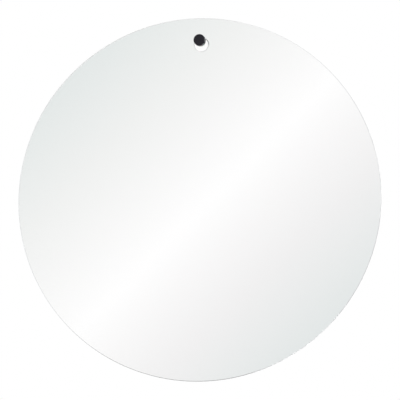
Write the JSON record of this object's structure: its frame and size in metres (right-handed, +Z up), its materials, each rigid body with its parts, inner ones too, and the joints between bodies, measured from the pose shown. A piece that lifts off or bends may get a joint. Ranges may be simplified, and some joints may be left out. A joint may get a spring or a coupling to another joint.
{
  "type": "frameless round wall mirror on a peg",
  "caption": "Frameless round wall mirror with a drilled hole near its top, hung on a short turned metal peg that is fixed to the wall with a stud and a plug.",
  "frame": {"origin": "on the wall's surface, at the centre of the peg's back end and of the plug's mouth", "axes": "+Y into the wall along the peg and the plug, so the mirror faces -Y; +X to the right of a person looking into the mirror; +Z up"},
  "size_m": [0.6099, 0.0825, 0.61],
  "materials": {
    "clear_glass": "clear, flat polished edges",
    "silver": "mirror-bright silver behind glass",
    "grey_paint": "curtain-coated lacquer, low gloss",
    "dark_bronze": "oil-rubbed near-black, satin, fine turning marks",
    "white_nylon": "milky, slightly translucent",
    "zinc_steel": "bright zinc plated",
    "natural_nylon": "natural moulded nylon",
    "clear_urethane": "clear soft polyurethane"
  },
  "bodies": {
    "wall_peg": {"peg_body": "dark_bronze", "hanger_bolt": "zinc_steel", "wall_plug": "natural_nylon"},
    "sleeve": {"peg_sleeve": "white_nylon"},
    "mirror": {"mirror_glass": "clear_glass", "silver_film": "silver", "backing_paint": "grey_paint", "bumper_upper_right": "clear_urethane", "bumper_upper_left": "clear_urethane", "bumper_lower_left": "clear_urethane", "bumper_lower_right": "clear_urethane"}
  },
  "joints": [
    {"name": "mirror_swing", "type": "hinge", "parent": "wall_peg", "child": "sleeve", "pos_m": [0, 0, 0], "axis": [0, 1, 0], "continuous": true},
    {"name": "mirror_lift_off", "type": "slide", "parent": "sleeve", "child": "mirror", "axis": [0, -0.9768, 0.2139], "range_m": [0, 0.06]}
  ]
}
